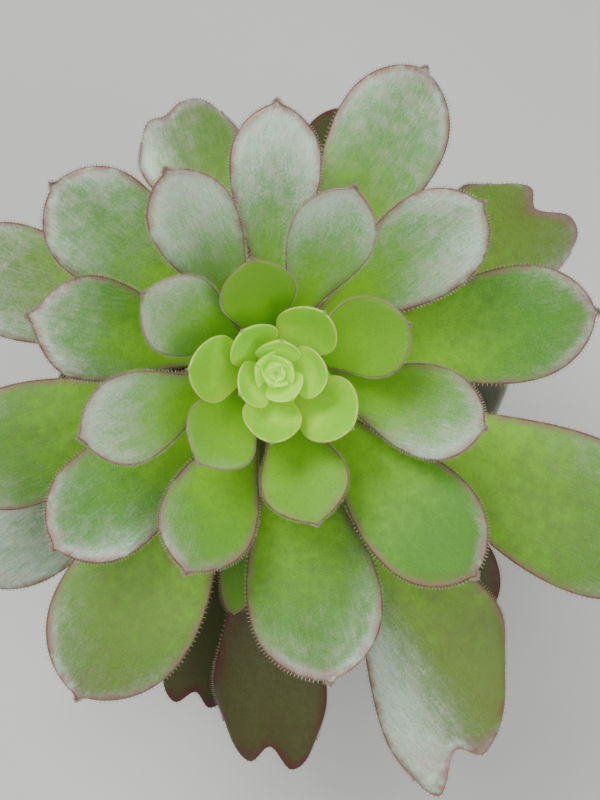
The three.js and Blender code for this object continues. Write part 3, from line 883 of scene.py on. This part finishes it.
def leaf_tree(skin, hairs):
    """The rule that bends and swells a blank into one leaf in its own frame, with x outward from
    the stem, y across and z along the stem, and that plants the hairs round it."""
    tree = new_tree("spoon_leaf", {"Blank": "Geometry", **dict.fromkeys(LEAF_SIZES, "Float")}, "Leaf")
    bench = Bench(tree)
    entry = bench.node("NodeGroupInput", {}, {})
    size = {name: entry.out(name) for name in LEAF_SIZES}

    def given(name, kind="FLOAT"):
        return bench.node("GeometryNodeInputNamedAttribute", {"data_type": kind}, {"Name": name})

    def store(geometry, name, value, kind="FLOAT"):
        return bench.node("GeometryNodeStoreNamedAttribute", {"data_type": kind, "domain": "POINT"},
                          {"Geometry": geometry, "Name": name, "Value": value})

    # t runs along the leaf, from 0 at the stem to 1 at the tip, and u across it, from -1 to 1.
    t, u, depth, fringe = given("along"), given("across"), given("depth"), given("fringe")
    out = u.math("ABSOLUTE")
    cleft = size["Notch"].math("GREATER_THAN", NOTCH_LEAST)
    widest, neck = size["Widest"], size["Neck"]

    def outline(t):
        """The half width at t along the leaf, as a share of the widest."""
        body = neck + (1 - neck) * ((t / widest).clamp() * (math.pi / 2)).math("SINE") ** size["Spoon"]
        end = ((t - widest) / (1 - widest)).clamp()
        rounded = (1 - (end / CUSP_FROM).clamp() ** TIP_FULLNESS).math("MAXIMUM", 0) ** size["Point"]
        rounded = rounded.math("MAXIMUM", ((1 - end) * CUSP_SLOPE).math("MINIMUM", CUSP_WIDE))
        blunt = 1 - end ** 2 * BLUNT_TAPER
        tip = rounded + (blunt - rounded) * cleft
        return (body * tip).math("MAXIMUM", OUTLINE_LEAST)

    length, half = size["Length"], size["Width"] / 2 * outline(t)
    slope = size["Width"] / 2 * (outline(t + SLOPE_STEP) - outline(t)) / (length * SLOPE_STEP)
    late = t.step(NOTCHED_FROM, 1)
    dip = (u - size["Notch side"]).math("ABSOLUTE").step(NOTCH_WIDE, 0)
    share = t - late * cleft * (size["Notch"] * dip + out ** 4 * NOTCHED_ROUNDING - size["Lobe skew"] * u)
    heading = size["Rise"] + size["Droop"] * share
    forward = length * (heading.math("SINE") - size["Rise"].math("SINE")) / size["Droop"]
    upward = length * (size["Rise"].math("COSINE") - heading.math("COSINE")) / size["Droop"]
    cup = size["Cupping"] * outline(t) + CHANNEL * (1 - t / CHANNEL_TO).math("MAXIMUM", 0)
    waves = (t * WAVE_TURNS + size["Phase"] + u * WAVE_SLANT).math("SINE")
    waves = waves * out ** 2 * t.step(*WAVES_BETWEEN)
    off_groove = out / GROOVE_WIDE
    groove = (off_groove * off_groove * -1).math("EXPONENT") * t.step(*GROOVE_BETWEEN)
    fall = ((t - FALL_FROM) / (1 - FALL_FROM)).clamp() ** 2
    lift = (cup * half * u * u - half * EDGE_TUCK * out ** 6 + size["Wave"] * waves
            - size["Groove"] * groove - size["Tip fall"] * fall)
    early = (t * 2).math("MINIMUM", 1)
    thick = size["Neck thick"] + (MIDDLE_THICK - size["Neck thick"]) * early
    thick = thick + (TIP_THICK - thick) * (t * 2 - 1).clamp()
    thick = (thick * (1 - u * u * EDGE_THINNING)).math("MAXIMUM", EDGE_THICK)
    lift = lift - depth * thick
    sideways = half * u + length * size["Sway"] * share * share
    place = bench.joined(forward - heading.math("SINE") * lift, sideways,
                         upward + heading.math("COSINE") * lift)
    blade = bench.node("GeometryNodeSetPosition", {}, {"Geometry": entry.out("Blank"), "Position": place})
    # What the skin reads: millimetres to the margin, how far past the silver's start, age and place.
    margin = half * (1 - out) / (1 + slope * slope).math("SQRT")
    margin = margin.math("MINIMUM", length * (1 - t)) * PER_METRE
    blade = store(blade, "margin", margin * (1 - fringe))
    blade = store(blade, "silver", t + size["Silver side"] * u - size["Silver from"])
    blade = store(blade, "age", size["Age"])
    skin_place = bench.joined(sideways * PER_METRE, share * length * PER_METRE, size["Number"] * SKIN_APART)
    blade = store(blade, "skin", skin_place, "FLOAT_VECTOR")
    blade = store(blade, "outward", bench.node("GeometryNodeInputNormal", {}, {}), "FLOAT_VECTOR")
    outward = given("outward", "FLOAT_VECTOR")
    rounding = bench.vector("SCALE", outward, Scale=fringe * RIM_ROUND)
    blade = bench.node("GeometryNodeSetPosition", {}, {"Geometry": blade, "Offset": rounding})
    blade = bench.node("GeometryNodeSetShadeSmooth", {}, {"Geometry": blade})

    bearded = bench.node("FunctionNodeCompare", {"operation": "GREATER_THAN"},
                         {0: fringe * t, 1: HAIRS_FROM})
    edge = bench.node("GeometryNodeMeshToCurve", {}, {"Mesh": blade, "Selection": bearded})
    roots = bench.node("GeometryNodeResampleCurve", {"mode": "LENGTH"},
                       {"Curve": edge, "Length": HAIR_SPACING})
    stray = random_vector(bench, (-HAIR_STRAY,) * 3, (HAIR_STRAY,) * 3, size["Number"] + STRAY_SEED)
    pointing = bench.node("FunctionNodeAlignRotationToVector", {"axis": "Z"},
                          {"Vector": bench.vector("ADD", outward, stray)})
    reach = random_number(bench, *HAIR_LENGTHS, size["Number"] + REACH_SEED) * size["Hair"]
    spine = bench.node("GeometryNodeMeshCone", {"fill_type": "NGON"},
                       {"Vertices": 3, "Radius Top": 0.0, "Radius Bottom": HAIR_RADIUS, "Depth": 1.0})
    fringe_hairs = bench.node("GeometryNodeInstanceOnPoints", {}, {
        "Points": roots, "Instance": spine, "Rotation": pointing,
        "Scale": bench.joined(1.0, 1.0, reach)})
    fringe_hairs = bench.node("GeometryNodeRealizeInstances", {}, {"Geometry": fringe_hairs})
    fringe_hairs = bench.node("GeometryNodeSetMaterial", {}, {"Geometry": fringe_hairs, "Material": hairs})
    blade = bench.node("GeometryNodeSetMaterial", {}, {"Geometry": blade, "Material": skin})
    leaf = bench.node("GeometryNodeJoinGeometry", {}, {"Geometry": blade})
    tree.links.new(fringe_hairs.socket, leaf.socket.node.inputs["Geometry"])
    bench.node("NodeGroupOutput", {}, {"Leaf": leaf})
    return tree


# The skin's noise: its scale along the leaf as a share of that across, then scale, detail, roughness.
SKIN_NOISE = {
    "patches": (0.4, 0.075, 3, 0.5),
    "clouds": (1, 0.22, 4, 0.6),
    "flecks": (0.75, 2.1, 4, 0.7),
    "strokes": (0.13, 0.9, 3, 0.6),
    "wrinkles": (0.28, 0.42, 3, 0.6),
    "ragged": (1, 0.16, 3, 0.6),
}
SKIN_DEPTH = 0.005
SKIN_SCATTER = (0.6, 1.0, 0.2)
TIP_HIGHLIGHT_WIDE = 7.0
ENDING_WIDE = 9.0


def leaf_finish(name, neck, body, young, dull, silver, rosy, line, line_width, blush, shine, translucency_and_painted_glow):
    """Leaf skin: neck and body colours that dull with age, the silvery bloom, rosy in places, where
    the leaf's own silver attribute is positive, and the coloured margin line with a blush beside it.
    The silver is partly a real waxy bloom and partly a painted sheen of reflected light, with a
    painted highlight along the margin near the tip; the pale neck is partly painted light against the
    shade deep in the rosette, and the bud glows with painted light."""
    skin = Finish(name, {"IOR": 1.47, "Subsurface Weight": translucency_and_painted_glow, "Subsurface Scale": SKIN_DEPTH,
                         "Subsurface Radius": SKIN_SCATTER, "Specular IOR Level": shine,
                         "Emission Strength": 0.27 * translucency_and_painted_glow, "Coat Roughness": 0.25})
    along, across, margin, age, silvery = map(skin.read, ("along", "across", "margin", "age", "silver"))
    at = skin.read("skin", out="Vector")
    patches, clouds, flecks, strokes, wrinkles, ragged = (
        skin.noise(skin.stretch(at, 1, lengthwise, 1), *noise)
        for lengthwise, *noise in SKIN_NOISE.values())
    veins = (strokes - 0.5).math("ABSOLUTE").step(0.04, 0.0)
    # A painted highlight on the skin along the margin near the tip, where the leaf curves down.
    painted_tip_highlight = (margin.step(TIP_HIGHLIGHT_WIDE, 0.0) * along.step(0.7, 1.0) * age.step(-0.1, 0.4)
           * silvery.step(-0.45, -0.1))
    bloom_and_painted_sheen = (silvery + across * across * 0.20 + painted_tip_highlight * 0.36 + patches.swing(0.35)
             + clouds.swing(0.22) + flecks.swing(0.4) + strokes.swing(0.3)).step(-0.18, 0.60)
    # The body: the bud's and young leaves' pale green, duller with age, paler down to the neck; that
    # paleness of the neck is partly painted light against the shade deep in the rosette.
    bud = (age * -1).step(0.3, 0.75)
    base = skin.tint(age.step(0.45, -0.05) * (1 - bud) * 0.55, body, young)
    base = skin.tint((age * 2 - 1.1 + clouds.swing(0.7)).clamp() * 0.85, base, dull)
    colour = skin.tint(((along + clouds.swing(0.4)).step(0.28, 0.85) - bud).clamp(), neck, base)
    colour = skin.tint(flecks.step(0.47, 0.30) * 0.40, colour, [0.55 * c for c in body])
    colour = skin.tint(flecks.step(0.54, 0.72) * 0.10, colour, silver)
    # The bloom, partly a real waxy bloom and partly a painted sheen of reflected light: a haze where
    # it is thin, silver where it is thick, rosy in patches, broken by veins.
    haze = [0.5 * (s + 1.6 * b) for s, b in zip(silver, body)]
    sheen = skin.tint((bloom_and_painted_sheen + flecks.swing(0.6)).step(0.35, 1.05), haze, silver)
    colour = skin.tint(bloom_and_painted_sheen * (0.40 + flecks * 0.72), colour, sheen)
    colour = skin.tint(bloom_and_painted_sheen * ragged.step(0.42, 0.62) * 0.5, colour, rosy)
    colour = skin.tint(veins * bloom_and_painted_sheen * 0.25, colour, body)
    # The blush: over the leaf's end, beside the margin, and the line on the margin itself.
    blushed = ragged.step(0.26, 0.62) * blush
    mauve = [0.15 * r + l for r, l in zip(rosy, line)]
    ending = (along + flecks.swing(0.1)).step(0.80, 0.98) * age.clamp()
    ending = ending * (0.3 + margin.step(ENDING_WIDE, 1.0) * 0.7)
    colour = skin.tint(ending * blushed, colour, line)
    beside = (margin + flecks.swing(2)).step(10 * line_width, 0.4) * (0.25 + blushed * 0.75)
    colour = skin.tint(beside * (0.1 + age.step(-0.1, 0.35) * 0.9), colour, mauve)
    faint = [0.35 * n + 0.8 * l for n, l in zip(neck, line)]
    edge = skin.tint(age.step(-0.15, 0.15), faint, line)
    line_share = (0.35 + blushed * 0.65) * (0.7 + age.step(-0.1, 0.3) * 0.3)
    colour = skin.tint(margin.step(2.0 * line_width, 0.0) * line_share, colour, edge)
    skin.feed("Base Color", colour)
    # The bud glows with painted light, in place of light passing through its thin leaves.
    skin.feed("Emission Color", skin.tint(bud, (0, 0, 0), young))
    skin.feed("Roughness", 0.44 - bloom_and_painted_sheen * 0.10 + flecks.swing(0.4))
    skin.feed("Coat Weight", bloom_and_painted_sheen * 0.6)
    skin.relief(flecks * 0.17 + strokes * 0.20 * (0.3 + bloom_and_painted_sheen) + clouds * 0.7 * age.clamp()
                + wrinkles * 0.9 * (0.2 + bloom_and_painted_sheen) * age.step(-0.2, 0.4))
    return skin.material


HAIR_DARK = (0.20, 0.12, 0.085)
HAIR_PALE = (0.52, 0.44, 0.36)
hair = Finish("margin_hairs", {"Roughness": 0.5, "IOR": 1.4})
hair.feed("Base Color", hair.tint(hair.noise(hair.place, scale=900, detail=2), HAIR_DARK, HAIR_PALE))

# The pale necks of the heart and green leaves are partly painted light against the shade deep in the
# rosette; the last value sets real translucency and also a painted glow.
heart_skin = leaf_finish(
    "leaf_heart", neck=(0.60, 0.90, 0.08), body=(0.11, 0.40, 0.015), young=(0.42, 0.80, 0.04),
    dull=(0.36, 0.66, 0.07), silver=(0.50, 0.70, 0.30), rosy=(0.85, 1.0, 0.35),
    line=(0.80, 1.0, 0.30), line_width=0.12, blush=0.2, shine=0.4, translucency_and_painted_glow=1.0)
green_skin = leaf_finish(
    "leaf_green", neck=(0.22, 0.49, 0.014), body=(0.068, 0.232, 0.008), young=(0.28, 0.55, 0.040),
    dull=(0.145, 0.185, 0.035), silver=(0.56, 0.70, 0.62), rosy=(0.58, 0.53, 0.48),
    line=(0.15, 0.045, 0.040), line_width=0.35, blush=0.8, shine=0.34, translucency_and_painted_glow=0.25)
old_skin = leaf_finish(
    "leaf_old", neck=(0.060, 0.030, 0.013), body=(0.072, 0.110, 0.020), young=(0.072, 0.110, 0.020),
    dull=(0.060, 0.056, 0.020), silver=(0.11, 0.11, 0.065), rosy=(0.13, 0.07, 0.055),
    line=(0.070, 0.018, 0.015), line_width=0.6, blush=0.8, shine=0.3, translucency_and_painted_glow=0.1)

fine_blank = leaf_blank("leaf_blank", stations=84, lanes=33)
small_blank = leaf_blank("heart_blank", stations=44, lanes=21)
# The heart's short hairs take the heart's own skin, which gives them the colour of its margin line.
leaf_trees = {
    "leaf_heart": leaf_tree(heart_skin, heart_skin),
    "leaf_green": leaf_tree(green_skin, hair.material),
    "leaf_old": leaf_tree(old_skin, hair.material),
}


# Rise over the level across the stem, and bend from there on, in degrees: of leaf 0, and how much less
# with each older leaf, first in the heart and then among the open leaves. The oldest rise alike.
HEART_RISE = (70, 1.1)
HEART_DROOP = (14, 1.6)
OPEN_RISE = (80, 2)
OPEN_DROOP = (6, 0.9)
ALIKE_FROM = 45
# Older leaves have sunk back by a share of the stem's lean. From which leaf to which that sets in, and
# ripeness does.
SAG_SHARE = 0.85
SAG_LEAVES = (16, 36)
RIPE_LEAVES = (12, 32)


def progress(n, first, last):
    """How far leaf n has come from a first to a last leaf, from 0 to 1."""
    return min(1, max(0, (n - first) / (last - first)))


def leaf_stance(n, turn, lift):
    """The direction in which leaf n leaves the stem, its rise there and how far it then bends."""
    azimuth = math.radians(FIRST_AZIMUTH + DIVERGENCE * n + turn)
    radial = ROSETTE_X * math.cos(azimuth) + ROSETTE_Y * math.sin(azimuth)
    (rise, less_rise), (droop, less_droop) = (
        (OPEN_RISE, OPEN_DROOP) if n >= FIRST_OPEN else (HEART_RISE, HEART_DROOP))
    age = min(n, ALIKE_FROM)
    sag = SAG_SHARE * math.degrees(LEAN) * progress(n, *SAG_LEAVES)
    rise = lift + (rise - less_rise * age) + sag * math.cos(azimuth - DOWNHILL)
    return radial, math.radians(rise), math.radians(droop - less_droop * age)


# Cupping: leaf 0's, its loss with each older leaf in the bud and then after it, and the least.
CUPPING = 0.42
CUPPING_LOSS = (0.06, 0.016)
CUPPING_LEAST = -0.06
# Age is 0 for one leaf, and -1 or 1 for those so many before or after it.
AGE_MIDDLE = 14
AGE_SPAN = 22
# Hairs: their share of the full length on young leaves, from which leaf on they grow and how slowly.
HAIR_SHORTEST = 0.25
HAIRS_GROW_FROM = 8
HAIRS_GROW_OVER = 14
# A ripe leaf's waves, how far each leaf's are shifted, its groove and its falling tip. Any leaf's neck.
WAVE_HIGH = 0.0009
WAVE_APART = 2.1
GROOVE_DEEP = 0.0005
TIP_FALL = 0.022
NECK_THICK = 0.0016
NECK_SHARE = 0.05


def grow_leaf(slot, blank, n, length, width, turn, root, lift=0.0, point=0.6, notch=0.0, side=0.0,
              skew=0.0, sway=0.0, silver=(1.3, 0.0), age=None):
    """Leaf n as a plain mesh in place: sizes in metres, turns in degrees, notch as a share. Silver is
    how far along the leaf the bloom, partly a painted sheen, sets in, and how much sooner it does on one
    side. Age runs from -1 in the bud to 1 for the oldest, and comes from the leaf's number unless it is
    given."""
    radial, rise, droop = leaf_stance(n, turn, lift)
    ripeness = progress(n, *RIPE_LEAVES)
    drawn_out = progress(n, BUD_LAST, SPOON_FIRST)
    form = {key: BUD[key] + (SPOON[key] - BUD[key]) * drawn_out for key in BUD}
    hair_growth = HAIR_SHORTEST + (n - HAIRS_GROW_FROM) / HAIRS_GROW_OVER
    hair_reach = min(1, max(HAIR_SHORTEST, hair_growth)) * HAIR_LENGTH
    if age is None:
        age = min(1, max(-1, (n - AGE_MIDDLE) / AGE_SPAN))
    piece = new_piece("leaf_form", blank.copy())
    mesh = made_by(leaf_trees[slot], piece, {
        "Number": float(n), "Length": length, "Width": width, "Rise": rise, "Droop": droop,
        "Neck": form["neck"], "Widest": NOTCHED_WIDEST if notch else form["widest"], "Spoon": form["spoon"],
        "Cupping": max(CUPPING_LEAST, CUPPING - CUPPING_LOSS[n >= 0] * n), "Point": point,
        "Notch": notch, "Notch side": side, "Lobe skew": skew, "Sway": sway,
        "Wave": WAVE_HIGH * ripeness, "Phase": WAVE_APART * n, "Tip fall": TIP_FALL * length * ripeness,
        "Groove": GROOVE_DEEP * ripeness, "Hair": hair_reach, "Neck thick": NECK_THICK + NECK_SHARE * width,
        "Silver from": silver[0], "Silver side": silver[1], "Age": age,
    })
    bpy.data.objects.remove(piece)
    mesh.transform(standing(radial, AXIS.cross(radial), AXIS, root))
    return mesh


# Open leaves, youngest first: number, length and width in mm, turn off the spiral in degrees, where
# the silver sets in. Then, where a leaf has them: the fullness of its point, its lift in degrees, how
# far up the stem it sprouts in mm, its sway, the notch in its tip with that notch's side and skew, and
# an age other than its number's.
OPEN_LEAVES = (
    (11, 54, 26, 5, (1.2, 0), {"point": 0.8}),
    (12, 50, 27, -9, (1, 0), {"point": 0.9}),
    (13, 59, 29, 9, (1.1, 0), {}),
    (14, 65, 29, -3, (0.6, 0), {"point": 0.75}),
    (15, 62, 31, -4, (1.25, 0), {"point": 0.85, "age": 0.12}),
    (16, 80, 29, 3, (0.5, 0.1), {"point": 0.75}),
    (17, 80, 31, -7, (0.6, -0.1), {"point": 0.75}),
    (18, 83, 33, 5, (0.66, -0.2), {}),
    (19, 83, 31, 0, (0.42, 0), {"point": 0.7}),
    (20, 84, 35, -11, (0.95, -0.2), {"point": 0.75}),
    (21, 96, 37, 6, (0.52, -0.1), {}),
    (22, 89, 38, -4, (0.72, 0.1), {"point": 0.95}),
    (23, 109, 42, 6, (1.15, 0.15), {}),
    (24, 92, 34, 3, (0.38, 0), {"point": 0.7}),
    (25, 104, 41, -5, (0.74, 0.15), {}),
    (26, 121, 44, 9, (0.92, 0), {}),
    (27, 100, 44, 2, (0.64, 0.05), {}),
    (28, 122, 50, 4, (0.83, 0.08), {}),
    (29, 126, 46, 8, (0.6, 0), {}),
    (30, 129, 47, 7, (0.88, 0), {}),
    (31, 178, 59, 6, (0.86, 0.15), {}),
    (32, 109, 44, 4, (0.74, 0.3), {"notch": 0.03, "side": 0.3, "skew": -0.01}),
    (33, 147, 56, -4, (0.95, -0.1), {}),
    (34, 138, 52, 6, (1.05, -0.1), {"notch": 0.07, "side": 0.15, "skew": -0.08}),
    (35, 141, 48, 5, (0.6, 0.1), {}),
    (36, 178, 64, 11, (0.82, -0.7),
     {"up": -1.3, "notch": 0.07, "side": -0.25, "skew": -0.045, "sway": -0.18}),
    (37, 133, 42, -7, (1.3, 0), {}),
    (38, 157, 50, 4, (0.4, 0), {"lift": -4}),
    (39, 84, 30, 0, (1.1, 0), {}),
    (40, 104, 44, 0, (1.3, 0), {}),
    (41, 172, 48, 7, (1.25, -0.2), {"notch": 0.06, "skew": 0.03}),
    (42, 76, 18, -19, (1.2, 0), {"lift": 9, "up": 3}),
    (43, 96, 30, 13, (1.3, 0), {}),
    (44, 147, 36, -4, (1.3, 0), {"lift": 8}),
    (49, 104, 17, -21, (1.3, 0), {"lift": 15, "up": 20.5, "age": 0.2}),
    (54, 156, 42, 7, (1.3, 0), {"lift": 12, "notch": 0.05}),
)
slot_of = {part["node"]: part["material_slot"] for part in frame["record"]["subparts"]}

for n, length, width, turn, silver, extra in OPEN_LEAVES:
    extra = dict(extra)
    depth = CROWN_START + CROWN_PITCH * (n - FIRST_OPEN) - extra.pop("up", 0) / PER_METRE
    share = (depth - STEM_TOP) / STEM_LENGTH
    radial = leaf_stance(n, turn, 0)[0]
    root = stem_point(share) + radial * stem_radius(share)
    leaf_slot = slot_of[f"leaf_{n}"]
    leaf_mesh = grow_leaf(leaf_slot, fine_blank, n, length / PER_METRE, width / PER_METRE, turn, root,
                          silver=silver, **extra)
    leaf = new_piece(f"leaf_{n}_skin", leaf_mesh)
    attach(leaf, "root")
    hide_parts(f"leaf_{n}")

# ---------------------------------------------------------------- heart of the rosette
# The growing point: a small green cone of stem under the youngest leaves, which are still cupped
# tightly round each other, pale yellow-green and edged with a fine light line, and glowing with
# painted light.

YOUNGEST = -9
# Degrees by which its leaves turn off the spiral, to one side and to the other.
HEART_TURN = 10
# Sizes of leaf 0 in metres, and the step from each leaf to the next older one: the leaf's length and
# width, how far under the rosette's middle it sprouts and how far beside its axis.
HEART_LEAF = {
    "length": (0.0145, 0.003),
    "width": (0.012, 0.00125),
    "depth": (0.004, 0.00115),
    "reach": (0.002, 0.0007),
}
# What some leaves are longer or shorter by.
HEART_EXTRA = {8: 0.002, 9: 0.003, 10: -0.003}
# The cone's sections: radius, and height over the rosette's middle.
CONE = ((0, -0.0157), (0.010, -0.0157), (0.008, -0.011), (0.0045, -0.006), (0.002, -0.002), (0, -0.0005))
CONE_SIDES = 40
CONE_LEAST = 0.00005


def heart_size(name, n):
    """A size of heart leaf n. The bud's leaves, before leaf 0, taper off towards nothing."""
    first, step = HEART_LEAF[name]
    return first * math.exp(n * step / first) if n < 0 else first + step * n


heart_work = bmesh.new()
for n in range(YOUNGEST, FIRST_OPEN):
    turn = HEART_TURN * math.cos(math.radians(DIVERGENCE * n))
    radial = leaf_stance(n, turn, 0)[0]
    root = ROSETTE_MIDDLE - AXIS * heart_size("depth", n) + radial * heart_size("reach", n)
    heart_leaf = grow_leaf("leaf_heart", small_blank, n, heart_size("length", n) + HEART_EXTRA.get(n, 0),
                           heart_size("width", n), turn, root)
    heart_work.from_mesh(heart_leaf)
cone_spokes = [ROSETTE_X * math.cos(a) + ROSETTE_Y * math.sin(a) for a in around(CONE_SIDES)]
cone_rings = [[tuple(ROSETTE_MIDDLE + AXIS * z + spoke * max(r, CONE_LEAST)) for spoke in cone_spokes]
              for r, z in CONE]
heart_work.from_mesh(loft_mesh("cone", cone_rings))
heart_mesh = bpy.data.meshes.new("rosette_heart_leaves")
heart_work.to_mesh(heart_mesh)
heart_work.free()
for face in heart_mesh.polygons:
    face.use_smooth = True
# All the heart's leaves have the same coats.
for coat in heart_leaf.materials:
    heart_mesh.materials.append(coat)
heart = new_piece("rosette_heart_leaves", heart_mesh)
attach(heart, "root")
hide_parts("rosette_heart")
